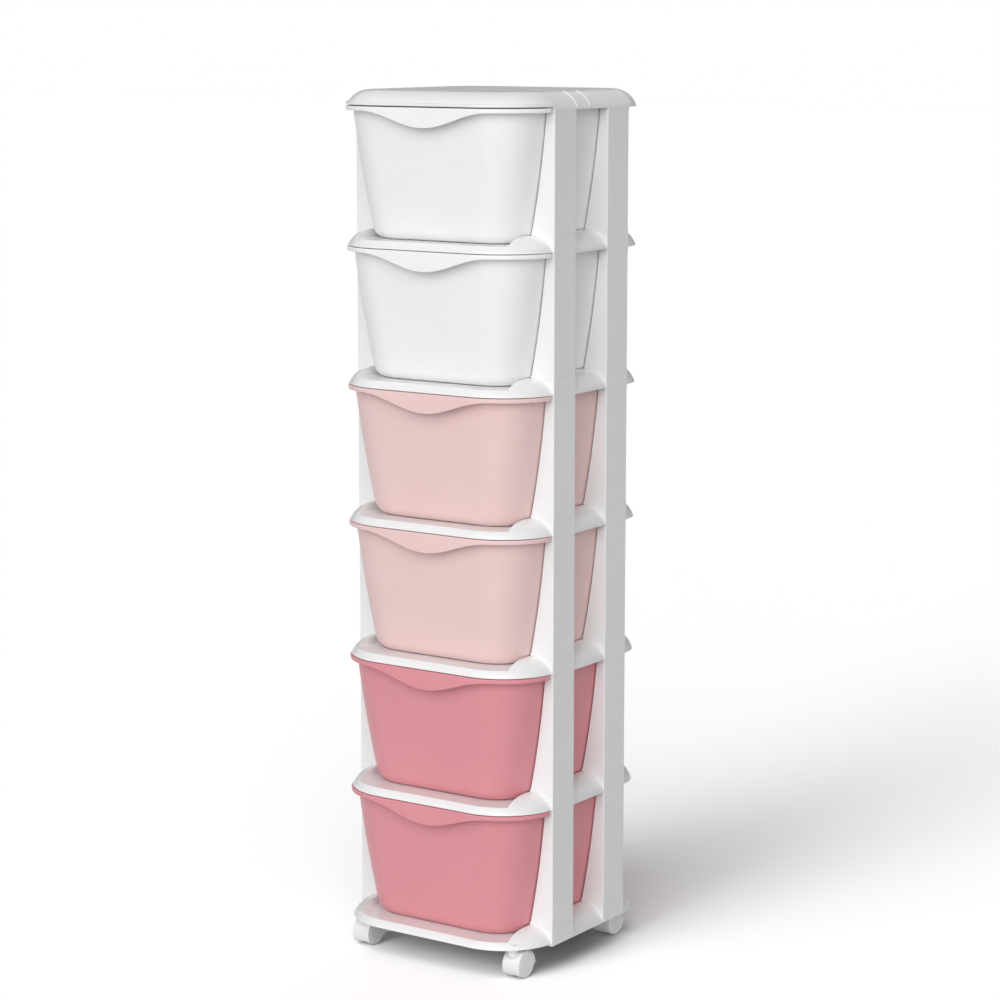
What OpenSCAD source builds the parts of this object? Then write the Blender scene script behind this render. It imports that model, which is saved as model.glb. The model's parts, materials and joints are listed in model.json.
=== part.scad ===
// Rolling drawer tower: six stacked shelves on short posts, a domed cover,
// six slide-out tub drawers and four small twin-wheel casters.
// Millimetres. Origin on the floor under the middle of the footprint,
// +Z up, the drawer fronts face -Y.

/* [Overall size] */
// Width across the outer faces of the posts
width = 280; // [264:2:320]
// Depth from the front lip to the back rim
depth = 282; // [276:2:330]
// Height of one tier, shelf to shelf
tier_pitch = 162.5; // [140:0.5:190]

/* [Shelf] */
// Height of the domed rim and of the corner blocks
rim_h = 21.1; // [19:0.1:24]
// Radius of the arc that the rim is rounded with
rim_arc_r = 30.5; // [28:0.5:33]
// Height of the shelf floor above the bottom of the corner blocks
floor_z = 11.7; // [10.5:0.1:13]
// Thickness of the moulded walls of shelves and cover
shell_t = 2.4; // [1.8:0.1:3]
// How far the front lip ends above the bottom of the corner blocks
lip_rise = 3; // [2:0.1:3.5]
// Half the width of the way that a drawer slides through
bay_half_w = 108; // [107:0.5:110]
// Distance from the back edge of the shelf to the bay
bay_back = 30; // [29:0.5:34]
// Distance from the back edge of the shelf to the room for a drawer rim
pocket_back = 12; // [11:0.5:13]
// How far the front corner arcs reach behind the front faces of the posts
front_tuck = 5.5; // [4:0.5:8]
// Depth of the stiffening ribs under the floor
floor_rib_h = 4; // [3:0.1:4.6]
// Thickness of the stiffening ribs under the floor
floor_rib_t = 1.6; // [1.2:0.1:2.4]
// Distance between the ribs that run front to back
floor_rib_pitch = 60; // [50:1:62]

/* [Posts] */
// Distance between the outer faces of the front and rear posts
post_span = 156.6; // [150:0.2:164]
// How far the posts stand behind the middle of the shelf
post_shift = 4.8; // [3:0.1:8]
// Depth of one post, front to back
post_depth = 45.2; // [40:0.2:50]
// Width of a post at its top
post_top_w = 11.5; // [11:0.1:12.5]
// How much wider a post is at its foot
post_flare = 20.6; // [18:0.1:20.8]
// Share of the flare that is curved
post_bow = 0.42; // [0.3:0.01:0.5]
// Wall of the post channel
post_wall = 2.4; // [2:0.1:3]
// Height of the lower tenon
foot_tenon_h = 5.5; // [4:0.1:6]
// Height of the upper tenon
head_tenon_h = 4.5; // [3.5:0.1:4.8]
// Clearance round a tenon in its socket
tenon_gap = 0.2; // [0.1:0.05:0.3]
// How much narrower a tenon is than its post at front and back
tenon_y_in = 5.5; // [4.5:0.5:6.5]

/* [Cover] */
// Height of the cover
cover_h = 20.5; // [19:0.1:23]
// Radius of the arc that the cover is rounded with
cover_arc_r = 28.6; // [27:0.2:31]
// Bottom of the front flange above the post tops
flange_rise = 3.6; // [3.4:0.1:4.4]
// Height of the front flange
flange_h = 3.3; // [2.5:0.1:4]
// Thickness of the front flange
flange_t = 4; // [3:0.5:5]
// Width of the small ribs over the sides
rib_w = 2; // [1.4:0.1:2.6]
// How far the small ribs stand out
rib_h = 0.9; // [0.6:0.1:1.2]
// Distance between the two ribs of a side
rib_pitch = 27.5; // [22:0.5:32]
// Distance of the front rib from the middle of the posts
rib_shift = 30.3; // [26:0.1:34]

/* [Drawer] */
// Wall thickness of a drawer
tub_wall = 2; // [1.5:0.1:2.6]
// Clearance between a drawer and the posts
side_gap = 1.2; // [0.8:0.1:1.8]
// Clearance under a drawer
slide_gap = 0.3; // [0.3:0.05:0.5]
// Clearance over the rim of a drawer
rim_gap = 0.8; // [0.7:0.1:1.2]
// Radius of the rounding at the foot of a drawer
tub_foot_r = 12; // [8:0.5:14]
// Distance from the rim band to the front wall, at the rim
tub_front_in = 10.2; // [9:0.1:12]
// Distance from the room behind to the rear wall, at the rim
tub_rear_in = 4; // [3:0.5:6]
// How much the front wall leans in per millimetre of height
front_lean = 0.108; // [0.08:0.001:0.13]
// How much the rear wall leans in per millimetre of height
rear_lean = 0.125; // [0.1:0.001:0.14]
// Radius of the front corners of a drawer at its foot
tub_corner_low = 46; // [42:1:50]
// Radius of the front corners of a drawer at its rim
tub_corner_high = 53; // [50:1:55]
// Radius of the rear corners of a drawer
tub_rear_r = 28; // [24:1:32]
// Height of the rim band at the front
band_h = 5.1; // [4:0.1:6]
// Thickness of the rim band
band_t = 2.2; // [1.8:0.1:2.8]
// Thickness of the flat rim behind the band
rim_t = 2; // [1.6:0.1:2.4]
// Distance from the ends of the band to the front faces of the posts
band_end_gap = 5; // [4:0.5:7]
// How much deeper the grip hangs than the band
grip_drop = 18; // [12:0.5:22]
// Half the width of the grip
grip_half_w = 88; // [70:1:95]
// Sideways position of the grip
grip_x = 4; // [0:0.5:6]

/* [Casters] */
// Radius of a caster wheel
wheel_r = 15.8; // [14.5:0.1:16.5]
// Width of one wheel
wheel_w = 9.2; // [8:0.1:10]
// Thickness of the web between the wheels
web_t = 4; // [3.4:0.1:4.6]
// Wall of the hood
hood_wall = 1.3; // [1.1:0.1:1.6]
// Clearance between wheel and hood, and above the hood
wheel_gap = 0.5; // [0.4:0.05:0.7]
// Distance from the swivel axis to the axle
trail = 12.6; // [11:0.1:14]
// Diameter of the axle pin
axle_d = 4; // [3:0.1:5]
// Diameter of the swivel stem
stem_d = 7; // [6:0.1:8]
// Radial running clearance of axle and stem
run_gap = 0.05; // [0.03:0.01:0.09]
// Diameter of the neck under the shelf
neck_d = 15; // [13:0.5:16]
// Depth of the stem in the neck
stem_seat = 6.5; // [5:0.5:8]
// Depth of the stem in the shelf
stem_in_shelf = 8.8; // [7.5:0.1:9]
// Diameter of the bosses that take the stems
boss_d = 20; // [18:0.5:22]
// Clearance between wheel and web
web_gap = 0.3; // [0.2:0.05:0.4]
// Depth of the ring groove in the wheel face
ring_d = 0.6; // [0.4:0.1:0.8]
// Distance from the sides to the swivel axes
swivel_side = 30; // [29:0.5:33]
// Distance from the front edge to the front swivel axes
swivel_front = 29; // [28:0.5:33]
// Distance from the back edge to the rear swivel axes
swivel_rear = 56; // [50:0.5:58]

/* [Hidden] */
$fn = 96;
tiers = 6;
half_w = width / 2;
half_d = depth / 2;
hood_r = wheel_r + wheel_gap + hood_wall;
swivel_gap = 2 * wheel_gap + 0.1;
ground_gap = wheel_r + hood_r + swivel_gap;
cover_z = ground_gap + tiers * tier_pitch;
post_front_y = post_shift - post_span / 2;
arc_front_y = post_front_y + front_tuck;
arc_back_y = post_shift + post_span / 2;
front_r = half_d + arc_front_y;
back_r = half_d - arc_back_y;
post_h = tier_pitch - rim_h;
pocket_half_w = half_w - post_top_w;
pocket_back_y = half_d - pocket_back;
bay_back_y = half_d - bay_back;
floor_bottom = floor_z - shell_t;
swivel_x = half_w - swivel_side;
swivel_front_y = swivel_front - half_d;
swivel_rear_y = half_d - swivel_rear;
foot_x0 = bay_half_w + 5;
foot_x1 = half_w - 6;
head_x0 = pocket_half_w + 2;
head_x1 = half_w - 4;
tenon_end_gap = 0.3;
post_line = [for (i = [0:14]) i / 14];
white = [0.95, 0.95, 0.94];
blush = [0.92, 0.79, 0.78];
rose = [0.86, 0.56, 0.59];
steel = [0.75, 0.76, 0.77];

// Tier positions

function shelf_z(i) = ground_gap + (i - 1) * tier_pitch;
function side_x(c) = (c == "fr" || c == "br") ? 1 : -1;
function rear(c) = (c == "bl" || c == "br");
function swivel_y(c) = rear(c) ? swivel_rear_y : swivel_front_y;

// Inner edge of a post at the fraction t from its top down to its foot,
// gently curved, as the drawer beside it

function post_in_x(t) = pocket_half_w - post_flare * ((1 - post_bow) * t + post_bow * t * t);

// Plan outline with two corner radii, moved in by inset

module outline(inset = 0) {
    straight_f = half_w - front_r;
    straight_b = half_w - back_r;
    translate([-half_w + inset, arc_front_y])
        square([width - 2 * inset, arc_back_y - arc_front_y]);
    translate([-straight_f, -half_d + inset])
        square([2 * straight_f, front_r]);
    translate([-straight_b, arc_back_y])
        square([2 * straight_b, back_r - inset]);
    for (s = [-1, 1]) {
        translate([s * straight_f, arc_front_y]) circle(r = front_r - inset);
        translate([s * straight_b, arc_back_y]) circle(r = back_r - inset);
    }
}

// Half profile of a body with an arc edge: r_out from the middle, h high,
// the arc of radius arc_r reaches the flat top; t is taken off all over

module arc_profile(r_out, h, arc_r, t) {
    reach = sqrt(arc_r * arc_r - (arc_r - h) * (arc_r - h));
    translate([0, t > 0 ? -1 : 0])
        square([r_out - reach, h - t + (t > 0 ? 1 : 0)]);
    intersection() {
        translate([r_out - reach, h - arc_r]) circle(r = arc_r - t, $fn = 160);
        translate([r_out - reach - 1, t > 0 ? -1 : 0]) square([reach + 1, h + 1]);
    }
}

// Body with an arc edge all round, following the outline

module pillow(h, arc_r, t = 0) {
    for (m = [0, 1]) mirror([m, 0, 0]) {
        translate([0, arc_back_y, 0])
            rotate([90, 0, 0])
                linear_extrude(arc_back_y - arc_front_y) arc_profile(half_w, h, arc_r, t);
        translate([half_w - front_r, arc_front_y, 0])
            rotate([0, 0, -90])
                rotate_extrude(angle = 90) arc_profile(front_r, h, arc_r, t);
        translate([half_w - back_r, arc_back_y, 0])
            rotate_extrude(angle = 90) arc_profile(back_r, h, arc_r, t);
    }
    translate([-(half_w - back_r), 0, 0])
        rotate([90, 0, 90])
            linear_extrude(width - 2 * back_r) arc_profile(half_d, h, arc_r, t);
    translate([-(half_w - front_r), 0, 0])
        rotate([90, 0, 90])
            linear_extrude(width - 2 * front_r)
                mirror([1, 0]) arc_profile(half_d, h, arc_r, t);
}

// A box at each of the four post positions: from x0 to x1, in by y_in
// from the post's own front and back, from z0 up by dz

module at_posts(x0, x1, y_in, z0, dz) {
    for (mx = [0, 1], my = [0, 1])
        translate([0, post_shift, 0])
            mirror([mx, 0, 0])
                mirror([0, my, 0])
                    translate([x0, -post_span / 2 + y_in, z0])
                        cube([x1 - x0, post_depth - 2 * y_in, dz]);
}

// Room over the drawer below: nothing of it hangs lower than rise

module drawer_pocket(rise) {
    translate([-pocket_half_w, -half_d - 1, -1])
        cube([2 * pocket_half_w, half_d + 1 + pocket_back_y, rise + 1]);
    translate([-half_w - 1, -half_d - 1, -1])
        cube([width + 2, half_d + 1 + post_front_y, rise + 1]);
}

// Stiffening ribs under the floor

module floor_ribs() {
    z0 = floor_bottom - floor_rib_h;
    for (s = [-1, 0, 1])
        translate([s * floor_rib_pitch - floor_rib_t / 2, -half_d + 6, z0])
            cube([floor_rib_t, half_d - 6 + bay_back_y, floor_rib_h + 1]);
    for (y = [-60, 40])
        translate([-bay_half_w, y - floor_rib_t / 2, z0])
            cube([2 * bay_half_w, floor_rib_t, floor_rib_h + 1]);
}

// Shelf: domed rim at the sides and back, low lip at the front, flat floor

module shelf_body() {
    difference() {
        union() {
            difference() {
                pillow(rim_h, rim_arc_r);
                difference() {
                    pillow(rim_h, rim_arc_r, shell_t);
                    translate([-bay_half_w - shell_t, -half_d - 1, floor_bottom])
                        cube([2 * (bay_half_w + shell_t), half_d + 1 + bay_back_y + shell_t, rim_h]);
                }
            }
            at_posts(bay_half_w, half_w, 0, 0, rim_h);
            floor_ribs();
        }
        translate([-bay_half_w, -half_d - 1, floor_z])
            cube([2 * bay_half_w, half_d + 1 + bay_back_y, rim_h]);
        drawer_pocket(lip_rise);
        at_posts(foot_x0 - tenon_gap, foot_x1 + tenon_gap, tenon_y_in - tenon_gap,
            rim_h - foot_tenon_h - tenon_end_gap, foot_tenon_h + 1);
        at_posts(head_x0 - tenon_gap, head_x1 + tenon_gap, tenon_y_in - tenon_gap,
            -1, 1 + head_tenon_h + tenon_end_gap);
    }
}

module shelf(i) {
    color(white) translate([0, 0, shelf_z(i)]) {
        if (i > 1) shelf_body();
        else difference() {
            union() {
                shelf_body();
                for (s = [-1, 1], y = [swivel_front_y, swivel_rear_y])
                    translate([s * swivel_x, y, 0])
                        cylinder(d = boss_d, h = floor_bottom + shell_t / 2);
            }
            for (s = [-1, 1], y = [swivel_front_y, swivel_rear_y])
                translate([s * swivel_x, y, -1])
                    cylinder(r = stem_d / 2 + run_gap, h = 1 + stem_in_shelf + tenon_end_gap);
        }
    }
}

// Top cover: domed edge, flat top, flange at the front, two thin ribs over
// each side

cover_reach = sqrt(cover_arc_r * cover_arc_r - (cover_arc_r - cover_h) * (cover_arc_r - cover_h));

module cover_rib(y) {
    translate([0, y + rib_w / 2, 0])
        rotate([90, 0, 0])
            linear_extrude(rib_w)
                difference() {
                    intersection() {
                        translate([half_w - cover_reach, cover_h - cover_arc_r])
                            circle(r = cover_arc_r + rib_h, $fn = 160);
                        translate([half_w - 20, 2.5]) square([20, cover_h]);
                    }
                    translate([half_w - cover_reach, cover_h - cover_arc_r])
                        circle(r = cover_arc_r - 1, $fn = 160);
                }
}

module top_cover() {
    color(white) translate([0, 0, cover_z]) {
        difference() {
            union() {
                difference() {
                    pillow(cover_h, cover_arc_r);
                    difference() {
                        pillow(cover_h, cover_arc_r, shell_t);
                        at_posts(pocket_half_w - 3, half_w, 0, -1, head_tenon_h + 3.5);
                    }
                }
                intersection() {
                    translate([0, 0, flange_rise])
                        linear_extrude(flange_h)
                            difference() {
                                outline(0);
                                outline(flange_t);
                            }
                    translate([-half_w - 1, -half_d - 1, 0])
                        cube([width + 2, half_d - 1 + post_front_y, cover_h]);
                }
            }
            drawer_pocket(flange_rise);
            at_posts(head_x0 - tenon_gap, head_x1 + tenon_gap, tenon_y_in - tenon_gap,
                -1, 1 + head_tenon_h + tenon_end_gap);
        }
        for (m = [0, 1], y = [0, rib_pitch])
            mirror([m, 0, 0]) cover_rib(post_shift - rib_shift + y);
    }
}

// Post: a channel open to the inside, with a tenon at each end

module post_flange() {
    rotate([90, 0, 0])
        linear_extrude(post_wall)
            polygon(concat(
                [[half_w, 0], [half_w, post_h]],
                [for (t = post_line) [post_in_x(t), post_h * (1 - t)]]
            ));
}

module post(i, c) {
    color(white)
    translate([0, post_shift, shelf_z(i) + rim_h])
        mirror([side_x(c) < 0 ? 1 : 0, 0, 0])
            mirror([0, rear(c) ? 1 : 0, 0])
                translate([0, -post_span / 2, 0]) {
                    translate([half_w - post_wall, 0, 0])
                        cube([post_wall, post_depth, post_h]);
                    translate([0, post_wall, 0]) post_flange();
                    translate([0, post_depth, 0]) post_flange();
                    translate([post_in_x(1), 0, 0])
                        cube([half_w - post_in_x(1), post_depth, post_wall]);
                    translate([pocket_half_w, 0, post_h - post_wall])
                        cube([post_top_w, post_depth, post_wall]);
                    translate([foot_x0, tenon_y_in, -foot_tenon_h])
                        cube([foot_x1 - foot_x0, post_depth - 2 * tenon_y_in, foot_tenon_h + 1]);
                    translate([head_x0, tenon_y_in, post_h - 1])
                        cube([head_x1 - head_x0, post_depth - 2 * tenon_y_in, head_tenon_h + 1]);
                }
}

// Drawer: a lofted tub with rounded corners, its sides follow the posts

tub_z0 = floor_z + slide_gap;
tub_z1 = tier_pitch + lip_rise - rim_gap;
corner_steps = 7;

function tub_half_w(z) =
    post_in_x((tier_pitch - z) / post_h) - side_gap;
function tub_front(z) = -half_d + tub_front_in + front_lean * (tub_z1 - z);
function tub_rear(z) = pocket_back_y - tub_rear_in - rear_lean * (tub_z1 - z);
function tub_front_r(z) =
    tub_corner_low + (tub_corner_high - tub_corner_low) * (z - tub_z0) / (tub_z1 - tub_z0);
function foot_inset(z, r) = z - tub_z0 >= r ? 0 : r - sqrt(r * r - pow(r - z + tub_z0, 2));

// One ring of the tub at height z, moved in by t, foot rounding r
function tub_ring(z, t, r) =
    let (s = t + foot_inset(z, r), w = tub_half_w(z) - s, yf = tub_front(z) + s,
        yb = tub_rear(z) - s, cf = tub_front_r(z) - s, cb = tub_rear_r - s)
    concat(
        [for (k = [0:corner_steps]) let (a = -90 + 90 * k / corner_steps)
            [w - cf + cf * cos(a), yf + cf + cf * sin(a), z]],
        [for (k = [0:corner_steps]) let (a = 90 * k / corner_steps)
            [w - cb + cb * cos(a), yb - cb + cb * sin(a), z]],
        [for (k = [0:corner_steps]) let (a = 90 + 90 * k / corner_steps)
            [-w + cb + cb * cos(a), yb - cb + cb * sin(a), z]],
        [for (k = [0:corner_steps]) let (a = 180 + 90 * k / corner_steps)
            [-w + cf + cf * cos(a), yf + cf + cf * sin(a), z]]
    );

// Closed solid through rings of equal point counts, lowest ring first
module loft(rings) {
    n = len(rings[0]);
    m = len(rings);
    polyhedron(
        points = [for (g = rings) each g],
        faces = concat(
            [[for (k = [0:n - 1]) k]],
            [[for (k = [n - 1:-1:0]) (m - 1) * n + k]],
            [for (j = [0:m - 2], k = [0:n - 1])
                let (k2 = (k + 1) % n)
                [j * n + k, (j + 1) * n + k, (j + 1) * n + k2, j * n + k2]]
        ),
        convexity = 4
    );
}

foot_levels = [for (k = [0:4]) tub_z0 + tub_foot_r * (1 - cos(90 * k / 4))];
wall_levels = [for (k = [1:7]) tub_z0 + tub_foot_r + k * (tub_z1 - tub_z0 - tub_foot_r) / 7];
tub_levels = concat(foot_levels, wall_levels);
core_z0 = tub_z0 + tub_wall;

// Front band: depth of its lower edge below the rim, deeper at the grip
function band_drop(x) =
    let (d = abs(x - grip_x) / grip_half_w)
    band_h + (d < 1 ? grip_drop * pow(cos(90 * d), 2) : 0);

band_end_y = post_front_y - band_end_gap;
band_a0 = asin((arc_front_y - band_end_y) / front_r);

// Plan path of the band, moved in by t, from its left end to its right end
function band_path(t) =
    let (c = half_w - front_r, r = front_r - t)
    concat(
        [for (k = [0:8]) let (a = 180 + band_a0 + (90 - band_a0) * k / 8)
            [-c + r * cos(a), arc_front_y + r * sin(a)]],
        [for (k = [1:23]) [-c + 2 * c * k / 24, arc_front_y - r]],
        [for (k = [0:8]) let (a = 270 + (90 - band_a0) * k / 8)
            [c + r * cos(a), arc_front_y + r * sin(a)]]
    );

module band() {
    outer = band_path(0);
    inner = band_path(band_t);
    n = len(outer);
    polyhedron(
        points = [for (k = [0:n - 1]) each [
            [outer[k][0], outer[k][1], tub_z1 - band_drop(outer[k][0])],
            [outer[k][0], outer[k][1], tub_z1],
            [inner[k][0], inner[k][1], tub_z1],
            [inner[k][0], inner[k][1], tub_z1 - band_drop(outer[k][0])]
        ]],
        faces = concat(
            [[3, 2, 1, 0]],
            [[4 * n - 4, 4 * n - 3, 4 * n - 2, 4 * n - 1]],
            [for (k = [0:n - 2], e = [0:3])
                [4 * k + e, 4 * k + (e + 1) % 4, 4 * k + 4 + (e + 1) % 4, 4 * k + 4 + e]]
        ),
        convexity = 6
    );
}

module drawer(i) {
    color(i > 4 ? white : (i > 2 ? blush : rose))
    translate([0, 0, shelf_z(i)])
        difference() {
            union() {
                loft([for (z = tub_levels) tub_ring(z, 0, tub_foot_r)]);
                band();
                translate([0, 0, tub_z1 - rim_t])
                    linear_extrude(rim_t) polygon(concat(
                        band_path(band_t / 4),
                        [[half_w - 20, band_end_y], [-half_w + 20, band_end_y]]
                    ));
            }
            loft([for (z = concat(
                [for (k = [0:4]) core_z0 + (tub_foot_r - tub_wall) * (1 - cos(90 * k / 4))],
                [for (k = [1:7]) tub_z0 + tub_foot_r + k * (tub_z1 - tub_z0 - tub_foot_r) / 7],
                [tub_z1 + 1]))
                core_ring(z)]);
        }
}

// Ring of the hollow inside the tub
function core_ring(z) =
    let (zc = min(z, tub_z1), q = tub_foot_r - tub_wall,
        f = zc - core_z0 >= q ? 0 : q - sqrt(max(0, q * q - pow(q - zc + core_z0, 2))),
        ring = tub_ring(max(zc, tub_z0 + tub_foot_r), tub_wall + f, 0.01),
        low = tub_half_w(zc) - tub_half_w(max(zc, tub_z0 + tub_foot_r)))
    [for (p = ring) [p[0] + sign(p[0]) * low, p[1], z]];

// Casters

axle_z = wheel_r;
hood_half_w = web_t / 2 + web_gap + wheel_w + web_gap;
neck_top = ground_gap - 0.4;
stem_z0 = neck_top - stem_seat;
axle_half = web_t / 2 + web_gap + wheel_w - 2.5;
ring_r = wheel_r - 3.4;

module at_caster(c) {
    translate([side_x(c) * swivel_x, swivel_y(c), 0]) children();
}

module cross(d, half) {
    translate([-half, trail, axle_z]) rotate([0, 90, 0]) cylinder(d = d, h = 2 * half);
}

module caster_hood(c) {
    color(white) at_caster(c) difference() {
        union() {
            difference() {
                union() {
                    cross(2 * hood_r, hood_half_w);
                    translate([0, 0, axle_z]) cylinder(d = neck_d, h = neck_top - axle_z);
                }
                cross(2 * (wheel_r + wheel_gap), hood_half_w + 1);
            }
            cross(2 * (wheel_r + wheel_gap) + 0.6, web_t / 2);
        }
        translate([-20, trail, axle_z - 6.3])
            rotate([12.3, 0, 0])
                translate([0, -40, -40]) cube([40, 80, 40]);
        cross(axle_d, hood_half_w);
        translate([0, 0, stem_z0]) cylinder(d = stem_d, h = 20);
    }
}

module caster_stem(c) {
    color(steel) at_caster(c)
        translate([0, 0, stem_z0])
            cylinder(d = stem_d, h = ground_gap + stem_in_shelf - stem_z0);
}

module caster_axle(c) {
    color(steel) at_caster(c) cross(axle_d, axle_half);
}

module caster_wheel(c, s) {
    color(white) at_caster(c)
        translate([0, trail, axle_z])
            rotate([0, s * 90, 0])
                translate([0, 0, web_t / 2 + web_gap])
                    rotate_extrude() difference() {
                        polygon([
                            [0, 0], [wheel_r - 1, 0], [wheel_r, 1],
                            [wheel_r, wheel_w - 1.2], [wheel_r - 1.2, wheel_w],
                            [ring_r, wheel_w], [ring_r - 0.5, wheel_w - ring_d],
                            [ring_r - 1, wheel_w], [0, wheel_w]
                        ]);
                        translate([0, -1]) square([axle_d / 2 + run_gap, wheel_w - 0.9]);
                    }
}

top_cover();
for (i = [1:tiers]) shelf(i);
for (i = [1:tiers], c = ["fl", "fr", "bl", "br"])
    post(i, c);
for (i = [1:tiers]) drawer(i);
for (c = ["fl", "fr", "bl", "br"]) {
    caster_hood(c);
    caster_stem(c);
    caster_axle(c);
    caster_wheel(c, -1);
    caster_wheel(c, 1);
}
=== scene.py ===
"""Looks of the rolling drawer tower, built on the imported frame.

Metres, +Z up, the origin on the floor under the middle of the footprint. The drawer fronts
face -Y.
"""
import json
import math

import bmesh
import bpy
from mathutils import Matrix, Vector


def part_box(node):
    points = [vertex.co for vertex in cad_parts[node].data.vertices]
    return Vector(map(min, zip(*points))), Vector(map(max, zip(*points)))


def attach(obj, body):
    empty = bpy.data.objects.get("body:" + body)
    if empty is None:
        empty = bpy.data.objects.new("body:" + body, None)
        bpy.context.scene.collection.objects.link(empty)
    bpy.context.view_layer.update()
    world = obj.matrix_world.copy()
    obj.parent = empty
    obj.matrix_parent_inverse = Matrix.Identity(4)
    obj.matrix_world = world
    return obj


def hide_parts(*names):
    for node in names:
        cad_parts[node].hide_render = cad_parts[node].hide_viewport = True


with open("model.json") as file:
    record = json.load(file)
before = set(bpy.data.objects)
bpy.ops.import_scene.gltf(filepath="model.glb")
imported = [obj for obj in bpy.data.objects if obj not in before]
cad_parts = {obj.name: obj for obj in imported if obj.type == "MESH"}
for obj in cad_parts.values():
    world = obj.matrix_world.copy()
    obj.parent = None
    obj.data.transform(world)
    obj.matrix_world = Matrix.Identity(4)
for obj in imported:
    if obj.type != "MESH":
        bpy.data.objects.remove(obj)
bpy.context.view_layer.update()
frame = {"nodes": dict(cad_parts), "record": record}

MM = 0.001
TIERS = range(1, 7)
CORNERS = ("fl", "fr", "bl", "br")


def srgb(r, g, b):
    """Scene-linear colour of three 8-bit display values."""
    def linear(v):
        v /= 255
        return v / 12.92 if v <= 0.04045 else ((v + 0.055) / 1.055) ** 2.4
    return (linear(r), linear(g), linear(b), 1.0)


def grey(v):
    return srgb(v, v, v)


# ---------------------------------------------------------------- camera

CAMERA_PLACE = Vector((1.9306, -2.7874, 1.1137))
CAMERA_AZIMUTH = 34.5
CAMERA_DOWN = 9.544
CAMERA_LENS = 103.64
CAMERA_SENSOR = 36
CAMERA_REACH = 100


def add_camera():
    data = bpy.data.cameras.new("camera")
    data.lens = CAMERA_LENS
    data.sensor_width = CAMERA_SENSOR
    data.clip_end = CAMERA_REACH
    camera = bpy.data.objects.new("camera", data)
    bpy.context.scene.collection.objects.link(camera)
    azimuth, down = math.radians(CAMERA_AZIMUTH), math.radians(CAMERA_DOWN)
    ahead = Vector((-math.sin(azimuth) * math.cos(down), math.cos(azimuth) * math.cos(down),
                    -math.sin(down)))
    camera.location = CAMERA_PLACE
    camera.rotation_euler = ahead.to_track_quat("-Z", "Y").to_euler()
    bpy.context.scene.camera = camera


# ---------------------------------------------------------------- materials

# Where most of a noise lies
NOISE_LOW, NOISE_HIGH = 0.3, 0.7
# Noise scales of the plastic: clouds of colour, patches of gloss, grain, flow
CLOUD_SCALE, GLOSS_SCALE, GRAIN_SCALE, FLOW_SCALE = 9.0, 38.0, 1600.0, 24.0
GRAIN_STRENGTH, GRAIN_DEPTH = 0.04, 0.0002
FLOW_STRENGTH, FLOW_DEPTH = 0.05, 0.002
PLASTIC_IOR = 1.49
GLOW_REACH = (0.005, 0.004, 0.004)
# How much light passes through the plastic of the frame and of the drawers
FRAME_GLOW, DRAWER_GLOW = 0.06, 0.2
DRAWER_ROUGH = (0.34, 0.42)
# Clouds, grain and roughness of the steel pins
STEEL_CLOUD_SCALE, STEEL_GRAIN_SCALE = 300.0, 4000.0
STEEL_GRAIN_STRENGTH, STEEL_GRAIN_DEPTH = 0.15, 0.0001
STEEL_ROUGH = (0.25, 0.42)


def new_material(name):
    material = bpy.data.materials.new(name)
    material.use_nodes = True
    nodes = material.node_tree.nodes
    nodes.clear()
    output = nodes.new("ShaderNodeOutputMaterial")
    return material, nodes, material.node_tree.links, output


def principled(name):
    """A material with its main shader and the object's own coordinates."""
    material, nodes, links, output = new_material(name)
    shader = nodes.new("ShaderNodeBsdfPrincipled")
    links.new(shader.outputs["BSDF"], output.inputs["Surface"])
    return material, nodes, links, shader, nodes.new("ShaderNodeTexCoord")


def noise(nodes, links, coords, scale, detail=2.0, rough=0.5):
    node = nodes.new("ShaderNodeTexNoise")
    node.inputs["Scale"].default_value = scale
    node.inputs["Detail"].default_value = detail
    node.inputs["Roughness"].default_value = rough
    links.new(coords.outputs["Object"], node.inputs["Vector"])
    return node


def spread(nodes, links, source, low, high):
    """Noise output spread over low to high."""
    node = nodes.new("ShaderNodeMapRange")
    node.inputs["From Min"].default_value = NOISE_LOW
    node.inputs["From Max"].default_value = NOISE_HIGH
    node.inputs["To Min"].default_value = low
    node.inputs["To Max"].default_value = high
    links.new(source.outputs["Fac"], node.inputs["Value"])
    return node.outputs["Result"]


def tint(nodes, links, source, deep, pale):
    """Colour from deep to pale, as the noise goes."""
    node = nodes.new("ShaderNodeMix")
    node.data_type = "RGBA"
    node.inputs["A"].default_value = deep
    node.inputs["B"].default_value = pale
    links.new(spread(nodes, links, source, 0.0, 1.0), node.inputs["Factor"])
    return node.outputs["Result"]


def bump(nodes, links, source, strength, depth):
    node = nodes.new("ShaderNodeBump")
    node.inputs["Strength"].default_value = strength
    node.inputs["Distance"].default_value = depth
    links.new(source.outputs["Fac"], node.inputs["Height"])
    return node


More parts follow.
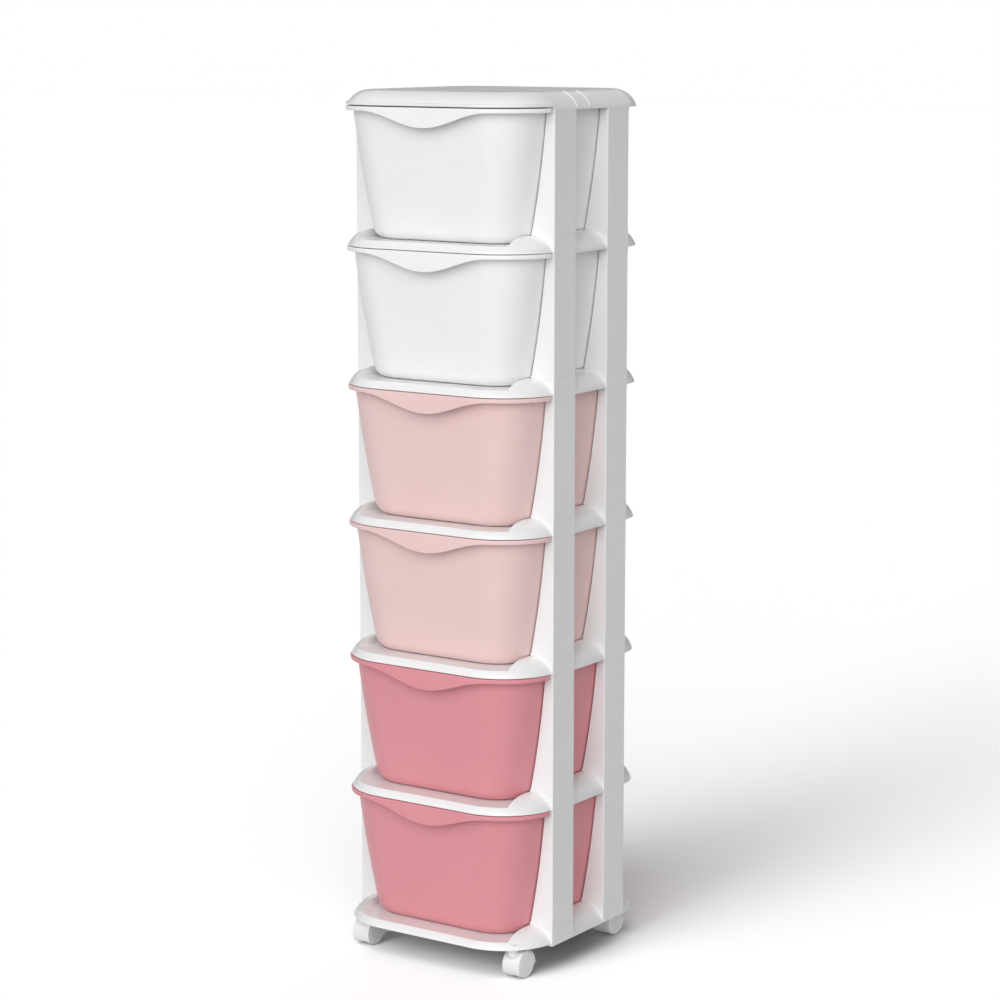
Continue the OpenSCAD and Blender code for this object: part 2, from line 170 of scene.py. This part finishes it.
def moulded(name, pale, deep, rough, glow):
    """Injection-moulded plastic: a faint cloudiness in its colour, uneven gloss between the two
    values of rough, fine surface grain and soft flow unevenness, and light passing through."""
    material, nodes, links, shader, coords = principled(name)
    cloud = noise(nodes, links, coords, CLOUD_SCALE, 3.0)
    links.new(tint(nodes, links, cloud, deep, pale), shader.inputs["Base Color"])
    patch = noise(nodes, links, coords, GLOSS_SCALE, 4.0)
    links.new(spread(nodes, links, patch, *rough), shader.inputs["Roughness"])

    fine = noise(nodes, links, coords, GRAIN_SCALE, 2.0, 0.6)
    wide = noise(nodes, links, coords, FLOW_SCALE, 1.0)
    grain = bump(nodes, links, fine, GRAIN_STRENGTH, GRAIN_DEPTH)
    flow = bump(nodes, links, wide, FLOW_STRENGTH, FLOW_DEPTH)
    links.new(grain.outputs["Normal"], flow.inputs["Normal"])
    links.new(flow.outputs["Normal"], shader.inputs["Normal"])

    shader.inputs["IOR"].default_value = PLASTIC_IOR
    shader.inputs["Subsurface Weight"].default_value = glow
    shader.inputs["Subsurface Radius"].default_value = GLOW_REACH
    shader.inputs["Subsurface Scale"].default_value = 1.0
    return material


def drawn_steel(name):
    """Steel pin: an uneven tint and sheen, and fine grain."""
    material, nodes, links, shader, coords = principled(name)
    shader.inputs["Metallic"].default_value = 1.0
    cloud = noise(nodes, links, coords, STEEL_CLOUD_SCALE, 3.0)
    links.new(tint(nodes, links, cloud, srgb(176, 178, 182), srgb(205, 206, 209)),
              shader.inputs["Base Color"])
    links.new(spread(nodes, links, cloud, *STEEL_ROUGH), shader.inputs["Roughness"])
    fine = noise(nodes, links, coords, STEEL_GRAIN_SCALE, 1.0)
    grain = bump(nodes, links, fine, STEEL_GRAIN_STRENGTH, STEEL_GRAIN_DEPTH)
    links.new(grain.outputs["Normal"], shader.inputs["Normal"])
    return material


WHITE = moulded("white_moulded", grey(240), grey(237), (0.16, 0.24), FRAME_GLOW)
WHITE_DRAWER = moulded("white_drawer_moulded", grey(246), grey(243), DRAWER_ROUGH, DRAWER_GLOW)
BLUSH = moulded("blush_moulded", srgb(238, 206, 204), srgb(235, 202, 200), DRAWER_ROUGH,
                DRAWER_GLOW)
ROSE = moulded("rose_moulded", srgb(224, 148, 156), srgb(220, 144, 152), DRAWER_ROUGH,
               DRAWER_GLOW)
CASTER = moulded("caster_moulded", grey(242), grey(239), (0.22, 0.32), FRAME_GLOW)
WHEEL = moulded("wheel_moulded", grey(246), grey(241), (0.34, 0.46), FRAME_GLOW)
STEEL = drawn_steel("steel_drawn")


def drawer_material(i):
    return WHITE_DRAWER if i > 4 else (BLUSH if i > 2 else ROSE)


# ---------------------------------------------------------------- dressed CAD pieces

# Points closer than this are one
WELD = 1e-5
# Triangles within this angle are one flat face, an edge beyond SHARP is rounded, and a remade
# piece is creased beyond CREASE
FLAT = math.radians(1.0)
SHARP = math.radians(28)
CREASE = math.radians(50)
# A rounding gets at most this share of the room beside its edge, and widens at most this much
# from one edge to the next. One narrower than the least share of its radius is left out.
ROOM_SHARE, ROOM_GROWTH, LEAST_SHARE = 0.3, 1.5, 0.03
ROOM_ROUNDS = 4
# Cosine of the angle between two edges that run on in one line
IN_LINE = -0.9
BEVEL_STEPS = 3
NORMAL_WEIGHT = 80
# Radius of the rounded edges of each kind of piece
SHELF_EDGE, POST_EDGE, COVER_EDGE, WHEEL_EDGE = 0.8 * MM, 1.1 * MM, 0.6 * MM, 0.5 * MM
# Seams between shelves and posts get this share of it, within SEAM_NEAR of the seam
SEAM_SHARE, SEAM_NEAR = 0.25, 0.0002
# Heights of a post's tenons
FOOT_TENON, HEAD_TENON = 5.5 * MM, 4.5 * MM


def clean_copy(node):
    """The node's solid as a welded mesh, its triangles joined into flat four-sided faces."""
    bm = bmesh.new()
    bm.from_mesh(frame["nodes"][node].data)
    bmesh.ops.remove_doubles(bm, verts=bm.verts, dist=WELD)
    bmesh.ops.dissolve_degenerate(bm, edges=bm.edges, dist=WELD)
    bmesh.ops.join_triangles(bm, faces=bm.faces, angle_face_threshold=FLAT,
                             angle_shape_threshold=math.pi)
    return bm


def crease(bm):
    """Smooth shading but for the sharp edges."""
    for edge in bm.edges:
        edge.smooth = edge.calc_face_angle(0) < CREASE


def to_object(bm, name):
    mesh = bpy.data.meshes.new(name)
    bm.to_mesh(mesh)
    bm.free()
    stale = mesh.attributes.get("custom_normal")
    if stale:
        mesh.attributes.remove(stale)
    mesh.polygons.foreach_set("use_smooth", [True] * len(mesh.polygons))
    piece = bpy.data.objects.new(name, mesh)
    bpy.context.scene.collection.objects.link(piece)
    return piece


def even_normals(piece):
    weighted = piece.modifiers.new("even normals", "WEIGHTED_NORMAL")
    weighted.keep_sharp = True
    weighted.weight = NORMAL_WEIGHT


def body_of(node):
    bodies = frame["record"]["behaviour"]["bodies"]
    return next(body for body, members in bodies.items() if node in members)


def fit_weights(bm, weights, radius):
    """Narrow the rounding where the faces beside an edge have less room than the radius."""
    room = {}
    for vert in bm.verts:
        for edge in vert.link_edges:
            if not edge[weights]:
                continue
            along = (edge.other_vert(vert).co - vert.co).normalized()
            sides = set(edge.link_faces)
            for other in vert.link_edges:
                if other is edge or not sides & set(other.link_faces):
                    continue
                away = other.other_vert(vert).co - vert.co
                if other[weights] and along.dot(away.normalized()) < IN_LINE:
                    continue
                room[vert] = min(room.get(vert, radius), ROOM_SHARE * away.cross(along).length)
    chains = [edge for edge in bm.edges if edge[weights]]
    for _ in range(ROOM_ROUNDS):
        for edge in chains:
            a, b = edge.verts
            room[a] = min(room.get(a, radius), ROOM_GROWTH * room.get(b, radius))
            room[b] = min(room.get(b, radius), ROOM_GROWTH * room.get(a, radius))
    for edge in chains:
        edge[weights] *= min(room[v] for v in edge.verts) / radius
        if edge[weights] < LEAST_SHARE:
            edge[weights] = 0
            edge.smooth = False


def all_round(edge):
    """Every edge gets the whole radius."""
    return 1.0


def seams_crisp(low_z, high_z):
    """The edges at and beyond the two seams stay crisp, all others are round."""
    def share(edge):
        z = (edge.verts[0].co.z + edge.verts[1].co.z) / 2
        return SEAM_SHARE if z < low_z + SEAM_NEAR or z > high_z - SEAM_NEAR else 1.0
    return share


def dressed(node, name, radius, share, material, like=None, crowded=True):
    """A copy of the node with its sharp edges rounded; share(edge) is the part of the radius
    that the edge gets. It takes the shape of the node like, if one is given, and a crowded mesh
    gets less rounding where it has less room."""
    bm = clean_copy(like or node)
    if like:
        bmesh.ops.translate(bm, verts=bm.verts, vec=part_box(node)[0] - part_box(like)[0])
    weights = bm.edges.layers.float.new("bevel_weight_edge")
    for edge in bm.edges:
        if len(edge.link_faces) == 2 and edge.calc_face_angle(0) > SHARP:
            edge[weights] = share(edge)
    if crowded:
        fit_weights(bm, weights, radius)
    piece = to_object(bm, name)
    bevel = piece.modifiers.new("rounded edges", "BEVEL")
    bevel.limit_method = "WEIGHT"
    bevel.width = radius
    bevel.segments = BEVEL_STEPS
    bevel.use_clamp_overlap = False
    bevel.miter_outer = "MITER_ARC"
    even_normals(piece)
    piece.data.materials.append(material)
    body = body_of(node)
    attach(piece, body)
    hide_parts(node)
    return piece


def dress_tower():
    for i in TIERS:
        low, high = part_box(f"shelf_{i}")
        dressed(f"shelf_{i}", f"shelf_{i}_moulding", SHELF_EDGE, seams_crisp(low.z, high.z),
                WHITE, like="shelf_2")
        for c in CORNERS:
            node = f"post_{i}_{c}"
            low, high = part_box(node)
            dressed(node, f"post_{i}_{c}_channel", POST_EDGE,
                    seams_crisp(low.z + FOOT_TENON, high.z - HEAD_TENON), WHITE,
                    crowded=False)
    dressed("top_cover", "top_cover_moulding", COVER_EDGE, all_round, WHITE)


# ---------------------------------------------------------------- casters

# Share of a small rounding by which its middle lies inside the sharp corner
SOFTEN = 0.3

# The sleeves in which the stems turn
BOSS_R, BOSS_TOP, BOSS_EDGE = 8 * MM, 9.5 * MM, 0.4 * MM
RUN_GAP = 0.05 * MM
BOSS_TURNS = 48

# The hood, in millimetres from where its swivel axis meets the floor
AXLE_Y, AXLE_Z = 12.6, 15.8
HOOD_R, HOOD_R_IN, HOOD_HALF_W, WEB_HALF_T = 17.6, 16.3, 11.8, 2.0
HOOD_EDGE, HOOD_EDGE_IN = 0.55, 0.2
# How far the web and the neck run into the barrel's wall
WEB_IN, NECK_IN = 0.4, 0.3
HOOD_FROM, HOOD_TO = -33.0, 188.0
HOOD_STEPS, NECK_TURNS = 64, 40
# Down the neck to where it runs into the hood: height, centre and radius
NECK = ((34.1, 0, 5.1), (33.9, 0, 5.45), (33.5, 0, 5.6), (31.6, 0, 5.6), (30.2, 0.1, 5.7),
        (28.9, 0.5, 5.9), (27.6, 1.3, 6.2), (26.4, 2.5, 6.5), (25.2, 4.0, 6.8), (23.8, 6.0, 7.0),
        (22.0, 9.0, 7.0))


def ring(radius, turns):
    """Points round a circle."""
    return [(radius * math.cos(k * math.tau / turns), radius * math.sin(k * math.tau / turns))
            for k in range(turns)]


def turned(name, profile):
    """A mesh turned round the Z axis from a closed profile of (radius, height)."""
    bm = bmesh.new()
    circles = [ring(r, BOSS_TURNS) for r, _ in profile]
    rings = [[bm.verts.new((*circle[k], z)) for circle, (_, z) in zip(circles, profile)]
             for k in range(BOSS_TURNS)]
    for k in range(BOSS_TURNS):
        here, there = rings[k], rings[(k + 1) % BOSS_TURNS]
        for j in range(len(profile)):
            n = (j + 1) % len(profile)
            bm.faces.new((here[j], there[j], there[n], here[n]))
    bmesh.ops.recalc_face_normals(bm, faces=bm.faces)
    crease(bm)
    return to_object(bm, name)


def dress_bosses():
    """The sleeves under the lowest shelf in which the caster stems turn."""
    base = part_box("shelf_1")[0].z
    for c in CORNERS:
        low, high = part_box(f"caster_{c}_stem")
        bore, top = (high.x - low.x) / 2 + RUN_GAP, base + BOSS_TOP
        boss = turned(f"shelf_1_boss_{c}", [
            (bore, top), (bore, base + BOSS_EDGE), (bore + BOSS_EDGE, base),
            (BOSS_R - BOSS_EDGE, base), (BOSS_R, base + BOSS_EDGE), (BOSS_R, top)])
        boss.location = ((low.x + high.x) / 2, (low.y + high.y) / 2, 0)
        boss.data.materials.append(WHITE)
        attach(boss, "tower")


def swept(bm, rings, loop):
    """Faces over equal rings of points, the ends closed; loop closes each ring."""
    rows = [[bm.verts.new(Vector(point) * MM) for point in points] for points in rings]
    n = len(rows[0])
    for here, there in zip(rows, rows[1:]):
        for j in range(n if loop else n - 1):
            k = (j + 1) % n
            bm.faces.new((here[j], here[k], there[k], there[j]))
    bm.faces.new(rows[0])
    bm.faces.new(rows[-1][::-1])


def hood_mesh():
    """Barrel over the wheels, web between them, neck up to the shelf."""
    bm = bmesh.new()

    def at(x, r, degrees):
        """Point round the axle; 0 degrees is ahead of it, 90 above."""
        a = math.radians(degrees)
        return (x, AXLE_Y - r * math.cos(a), AXLE_Z + r * math.sin(a))

    edge, w = HOOD_EDGE, HOOD_HALF_W
    wall = [(w - edge, HOOD_R), (w - SOFTEN * edge, HOOD_R - SOFTEN * edge), (w, HOOD_R - edge),
            (w, HOOD_R_IN + HOOD_EDGE_IN), (w - HOOD_EDGE_IN, HOOD_R_IN)]
    wall += [(-x, r) for x, r in reversed(wall)]
    turns = [HOOD_FROM + k * (HOOD_TO - HOOD_FROM) / HOOD_STEPS for k in range(HOOD_STEPS + 1)]
    swept(bm, [[at(x, r, t) for x, r in wall] for t in turns], True)
    web = [at(0, HOOD_R_IN + WEB_IN, t)[1:] for t in turns]
    swept(bm, [[(x, y, z) for y, z in web] for x in (-WEB_HALF_T, WEB_HALF_T)], True)

    def beyond_wheels(x, y, z):
        dy, dz = y - AXLE_Y, z - AXLE_Z
        out = max(1.0, (HOOD_R_IN + NECK_IN) / math.hypot(dy, dz))
        return (x, AXLE_Y + dy * out, AXLE_Z + dz * out)

    swept(bm, [[beyond_wheels(dx, y + dy, z) for dx, dy in ring(r, NECK_TURNS)]
               for z, y, r in NECK], True)
    bmesh.ops.recalc_face_normals(bm, faces=bm.faces)
    crease(bm)
    return bm


def dress_hood(c):
    low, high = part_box(f"caster_{c}_stem")
    piece = to_object(hood_mesh(), f"caster_{c}_hood_moulding")
    piece.location = ((low.x + high.x) / 2, (low.y + high.y) / 2, 0)
    even_normals(piece)
    piece.data.materials.append(CASTER)
    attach(piece, f"caster_{c}")
    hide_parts(f"caster_{c}_hood")


def dress_casters():
    for c in CORNERS:
        dress_hood(c)
        for s in "lr":
            dressed(f"caster_{c}_wheel_{s}", f"caster_{c}_wheel_{s}_disc", WHEEL_EDGE, all_round,
                    WHEEL)
        for p in ("stem", "axle"):
            materials = frame["nodes"][f"caster_{c}_{p}"].data.materials
            materials.clear()
            materials.append(STEEL)


# ---------------------------------------------------------------- drawers
# Smooth tubs with the sizes of the part's source, in millimetres, at the height of their tier.

TIER_PITCH = 162.5
POST_HEIGHT = 141.4
TUB_LOW, TUB_TOP = 12.0, 164.7
TUB_WALL, FOOT_R, FOOT_R_IN = 2.0, 12.0, 10.0
# Half the tub's width at the top of its post, how much less it is at the post's foot, and how
# much of that is even and how much curved
TUB_HALF_W, SIDE_LEAN, LEAN_EVEN, LEAN_CURVED = 127.3, 20.6, 0.58, 0.42
# Front and rear wall at the top, and how much each leans in per millimetre
FRONT_Y, FRONT_LEAN = -130.8, 0.108
REAR_Y, REAR_LEAN = 125.0, 0.125
# Radius of the front corners at the foot, how much more it is at the top, and of the rear ones
FRONT_R, FRONT_R_MORE, REAR_R = 46, 7, 28.0
# The corner arc of the rim band: radius, centre and how far ahead of the centre the band ends
OUTLINE_R, OUTLINE_X, OUTLINE_Y = 73.0, 67.0, -68.0
BAND_AHEAD = 10.5
BAND_END = math.asin(BAND_AHEAD / OUTLINE_R)
# The band and the rim: thickness and height of the one, thickness of the other
BAND_T, BAND_H, RIM_T = 2.2, 5.1, 2.0
# The last places of the band along the corner, how much each is rounded off, and whether it is
# cut to the rim
BAND_CLOSE = ((0.998, 0.2, False), (1.0, 0.6, False), (1.0005, 0.6, True))
# The grip: how much deeper than the band, half its width and its middle
GRIP_DROP, GRIP_HALF_W, GRIP_X = 18.0, 88.0, 4.0
# Rounded edges, and the fillet where the rim meets wall and band
EDGE, FILLET = 0.8, 0.7
EDGE_MID, FILLET_MID = SOFTEN * EDGE, 0.2
# Where the band is cut to the rim: how far it hangs below the fillet, and its share of rounding
CUT_BELOW, CUT_EDGE = 0.06, 0.05
FOOT_STEPS, WALL_STEPS, INNER_STEPS = 8, 9, 12


def tub_point(place, z, inset):
    """Plan point of the tub's outer face at height z, moved in by inset. A place is a part of
    the plan, its side (1 right, -1 left) and how far along the part it lies."""
    part, side, u = place
    t = (TIER_PITCH - z) / POST_HEIGHT
    w = TUB_HALF_W - SIDE_LEAN * (LEAN_EVEN * t + LEAN_CURVED * t * t)
    front = FRONT_Y + FRONT_LEAN * (TUB_TOP - z)
    rear = REAR_Y - REAR_LEAN * (TUB_TOP - z)
    front_r = FRONT_R + FRONT_R_MORE * (z - TUB_LOW) / (TUB_TOP - TUB_LOW)
    if part == "front":
        return Vector(((w - front_r) * u, front + inset))
    if part == "front_corner":
        a = (u - 1) * math.pi / 2
        return Vector((side * (w - front_r + (front_r - inset) * math.cos(a)),
                       front + front_r + (front_r - inset) * math.sin(a)))
    if part == "side":
        return Vector((side * (w - inset), (front + front_r) * (1 - u) + (rear - REAR_R) * u))
    if part == "rear_corner":
        a = u * math.pi / 2
        return Vector((side * (w - REAR_R + (REAR_R - inset) * math.cos(a)),
                       rear - REAR_R + (REAR_R - inset) * math.sin(a)))
    return Vector(((w - REAR_R) * u, rear - inset))


def band_point(place, inset):
    """Plan point of the rim band's outer face beside a place of the tub, moved in by inset."""
    part, side, u = place
    if part == "front":
        return Vector((OUTLINE_X * u, OUTLINE_Y - OUTLINE_R + inset))
    a = -math.pi / 2 + u * (math.pi / 2 - BAND_END)
    return Vector((side * (OUTLINE_X + (OUTLINE_R - inset) * math.cos(a)),
                   OUTLINE_Y + (OUTLINE_R - inset) * math.sin(a)))


def band_drop(x):
    """Depth of the band below its top: more in the middle, which is the grip."""
    d = abs(x - GRIP_X) / GRIP_HALF_W
    return BAND_H + (GRIP_DROP * math.cos(math.pi / 2 * d) ** 2 if d < 1 else 0)


def tub_stations():
    """Places round the tub: (place, has band, how much the band's end is rounded off, cut to
    the rim)."""
    def corner(side):
        us = [k / 16 for k in range(1, 16)] + [0.975, 0.992]
        run = [(("front_corner", side, u), True, 0.0, False) for u in us]
        run += [(("front_corner", side, u), True, tuck, cut) for u, tuck, cut in BAND_CLOSE]
        return run + [(("side", side, 0.0005), False, 0.0, False)]

    def rear(side):
        run = [(("side", side, k / 10), False, 0.0, False) for k in range(1, 11)]
        return run + [(("rear_corner", side, k / 8), False, 0.0, False) for k in range(1, 9)]

    front = [(("front", 0, -1 + k / 24), True, 0.0, False) for k in range(49)]
    back = [(("rear", 0, 1 - k / 6), False, 0.0, False) for k in range(1, 12)]
    return front + corner(1) + rear(1) + back + (corner(-1) + rear(-1))[::-1]


def tub_profile(place, banded, tuck, cut):
    """Points from the middle of the underside up the outside, round the rim and down the
    inside."""
    points = []

    def tub(inset, z):
        points.append((*tub_point(place, z, inset), z))

    under = TUB_TOP - RIM_T
    foot_top = TUB_LOW + FOOT_R
    wall = [foot_top + k * (under - FILLET - foot_top) / WALL_STEPS
            for k in range(1, WALL_STEPS + 1)]
    foot = [math.pi / 2 * k / FOOT_STEPS for k in range(FOOT_STEPS + 1)]
    for a in foot:
        tub(FOOT_R * (1 - math.sin(a)), TUB_LOW + FOOT_R * (1 - math.cos(a)))
    for z in wall:
        tub(0, z)
    if banded:
        inner, outer = tub_point(place, under, 0), band_point(place, BAND_T)
        along = (outer - inner).normalized()
        for start, step, z in ((inner, FILLET_MID, -FILLET_MID), (inner, FILLET, 0),
                               (outer, -FILLET, 0), (outer, -FILLET_MID, -FILLET_MID),
                               (outer, 0, -FILLET)):
            points.append((*(start + along * step), under + z))
        if cut:
            low, e = under - FILLET - CUT_BELOW, CUT_EDGE
        else:
            low, e = TUB_TOP - band_drop(band_point(place, 0).x) + tuck, 1.0
        face = TUB_TOP - tuck - EDGE - low - EDGE * e
        section = [(BAND_T, low + EDGE * e), (BAND_T - EDGE_MID, low + EDGE_MID * e),
                   (BAND_T - EDGE, low), (EDGE + tuck, low),
                   (EDGE_MID + tuck, low + EDGE_MID * e), (tuck, low + EDGE * e),
                   (tuck, low + EDGE * e + face / 2), (tuck, TUB_TOP - tuck - EDGE),
                   (EDGE_MID + tuck, TUB_TOP - tuck - EDGE_MID),
                   (EDGE + tuck, TUB_TOP - SOFTEN * tuck)]
        for inset, z in section:
            points.append((*band_point(place, inset), z))
    else:
        for k in range(1, INNER_STEPS + 1):
            tub(0, wall[-1] + k * (TUB_TOP - EDGE - wall[-1]) / (INNER_STEPS + 1))
        for inset, down in ((0, EDGE), (EDGE_MID, EDGE_MID), (EDGE, 0)):
            tub(inset, TUB_TOP - down)
    for inset, down in ((TUB_WALL - EDGE, 0), (TUB_WALL - EDGE_MID, EDGE_MID), (TUB_WALL, EDGE)):
        tub(inset, TUB_TOP - down)
    for z in reversed(wall):
        tub(TUB_WALL, z)
    for a in reversed(foot):
        tub(TUB_WALL + FOOT_R_IN * (1 - math.sin(a)),
            TUB_LOW + TUB_WALL + FOOT_R_IN * (1 - math.cos(a)))
    return points


def tub_mesh(z0):
    """The tub of the tier whose shelf starts at the height z0."""
    rings = [tub_profile(*station) for station in tub_stations()]
    n, m = len(rings), len(rings[0])
    bm = bmesh.new()
    verts = [[bm.verts.new((x * MM, y * MM, z * MM + z0)) for x, y, z in points]
             for points in rings]
    for k in range(n):
        here, there = verts[k], verts[(k + 1) % n]
        for j in range(m - 1):
            bm.faces.new((here[j], there[j], there[j + 1], here[j + 1]))
    bm.faces.new([verts[k][0] for k in reversed(range(n))])
    bm.faces.new([verts[k][m - 1] for k in range(n)])
    crease(bm)
    return bm


def dress_drawers():
    for i in TIERS:
        piece = to_object(tub_mesh(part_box(f"shelf_{i}")[0].z), f"drawer_{i}_tub")
        even_normals(piece)
        piece.data.materials.append(drawer_material(i))
        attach(piece, f"drawer_body_{i}")
        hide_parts(f"drawer_{i}")


# ---------------------------------------------------------------- studio

# Each light: name, azimuth (0 is the front, 90 the right side), elevation, strength, angle
TOWER_LIGHTS = (
    ("front_light", -4, 27, 1.4, 64),
    ("camera_light", 36, 25, 1.43, 60),
    ("side_light", 74, 30, 0.17, 30),
    ("back_light", 200, 8, 0.9, 40),
)
# These make the soft shadow on the white floor
FLOOR_LIGHTS = (
    ("floor_front", -4, 27, 1.2, 24),
    ("floor_middle", 10, 40, 0.99, 60),
    ("floor_high", 10, 55, 1.28, 50),
    ("floor_back", 200, 50, 0.43, 50),
    ("floor_left", -60, 60, 0.14, 50),
    ("floor_right", 60, 60, 0.18, 50),
)
# Strength of the world as a light
ROOM = 0.1
# The wall that only reflections see: its grey, and the world directions over which it fades in
WALL_GREY = 0.36
WALL_FADE_Z, WALL_FADE_Y = (0.45, 0.25), (0.1, 0.4)
# The floor is white where it is seen and this grey as a light
FLOOR_PLAIN = 0.4
FLOOR_HALF = 30


def add_sun(name, azimuth, elevation, strength, angle, lit):
    """Sun on the objects that the group lit gives; all angles are in degrees."""
    data = bpy.data.lights.new(name, "SUN")
    data.energy = strength
    data.angle = math.radians(angle)
    sun = bpy.data.objects.new(name, data)
    bpy.context.scene.collection.objects.link(sun)
    a, e = math.radians(azimuth), math.radians(elevation)
    towards = Vector((math.sin(a) * math.cos(e), -math.cos(a) * math.cos(e), math.sin(e)))
    sun.rotation_euler = towards.to_track_quat("Z", "Y").to_euler()
    sun.light_linking.receiver_collection = lit
    return sun


def light_group(name, floor, state):
    """The floor alone, or with state EXCLUDE everything but the floor."""
    group = bpy.data.collections.new(name)
    group.objects.link(floor)
    group.collection_objects[0].light_linking.link_state = state
    return group


def add_lights(floor):
    on_tower = light_group("lit_tower", floor, "EXCLUDE")
    on_floor = light_group("lit_floor", floor, "INCLUDE")
    for light in TOWER_LIGHTS:
        sun = add_sun(*light, on_tower)
        sun.visible_glossy = sun.name != "back_light"
    for light in FLOOR_LIGHTS:
        add_sun(*light, on_floor)


def maths(nodes, links, operation, a, b):
    node = nodes.new("ShaderNodeMath")
    node.operation = operation
    links.new(a, node.inputs[0])
    links.new(b, node.inputs[1])
    return node.outputs[0]


def mixed(nodes, links, factor, a, b):
    node = nodes.new("ShaderNodeMixShader")
    links.new(factor, node.inputs["Fac"])
    links.new(a.outputs[0], node.inputs[1])
    links.new(b.outputs[0], node.inputs[2])
    return node


def seen_ray(nodes, links):
    """1 where the camera, a reflection or a transmission looks, 0 for light."""
    path = nodes.new("ShaderNodeLightPath")
    first = maths(nodes, links, "MAXIMUM", path.outputs["Is Camera Ray"],
                  path.outputs["Is Glossy Ray"])
    return maths(nodes, links, "MAXIMUM", first, path.outputs["Is Transmission Ray"])


def add_world():
    """White where it is seen, dim as a light, and for reflections a grey wall low behind the
    tower."""
    world = bpy.data.worlds.new("room")
    world.use_nodes = True
    bpy.context.scene.world = world
    nodes, links = world.node_tree.nodes, world.node_tree.links
    nodes.clear()
    output = nodes.new("ShaderNodeOutputWorld")

    def background(level, strength):
        node = nodes.new("ShaderNodeBackground")
        node.inputs["Color"].default_value = (level, level, level, 1)
        node.inputs["Strength"].default_value = strength
        return node

    def step(source, fade):
        node = nodes.new("ShaderNodeMapRange")
        node.interpolation_type = "SMOOTHSTEP"
        node.inputs["From Min"].default_value = fade[0]
        node.inputs["From Max"].default_value = fade[1]
        links.new(source, node.inputs["Value"])
        return node.outputs["Result"]

    coords = nodes.new("ShaderNodeTexCoord")
    parts = nodes.new("ShaderNodeSeparateXYZ")
    links.new(coords.outputs["Generated"], parts.inputs[0])
    path = nodes.new("ShaderNodeLightPath")
    low = step(parts.outputs["Z"], WALL_FADE_Z)
    behind = step(parts.outputs["Y"], WALL_FADE_Y)
    wall_there = maths(nodes, links, "MULTIPLY", maths(nodes, links, "MULTIPLY", low, behind),
                       path.outputs["Is Glossy Ray"])
    seen = mixed(nodes, links, wall_there, background(1, 1.0), background(WALL_GREY, 1.0))
    room = mixed(nodes, links, seen_ray(nodes, links), background(1, ROOM), seen)
    links.new(room.outputs[0], output.inputs["Surface"])


def add_floor():
    """White where it is seen, and a plain grey as a light on the tower."""
    mesh = bpy.data.meshes.new("floor")
    half = FLOOR_HALF
    mesh.from_pydata([(-half, -half, 0), (half, -half, 0), (half, half, 0), (-half, half, 0)], [],
                     [(0, 1, 2, 3)])
    floor = bpy.data.objects.new("floor", mesh)
    bpy.context.scene.collection.objects.link(floor)
    material, nodes, links, output = new_material("floor_white")
    plain, white = nodes.new("ShaderNodeBsdfDiffuse"), nodes.new("ShaderNodeBsdfDiffuse")
    plain.inputs["Color"].default_value = (FLOOR_PLAIN, FLOOR_PLAIN, FLOOR_PLAIN, 1)
    white.inputs["Color"].default_value = (1, 1, 1, 1)
    mix = mixed(nodes, links, seen_ray(nodes, links), plain, white)
    links.new(mix.outputs[0], output.inputs["Surface"])
    floor.data.materials.append(material)
    return floor


add_camera()
dress_tower()
dress_bosses()
dress_drawers()
dress_casters()
add_lights(add_floor())
add_world()
bpy.context.scene.view_settings.view_transform = "Standard"
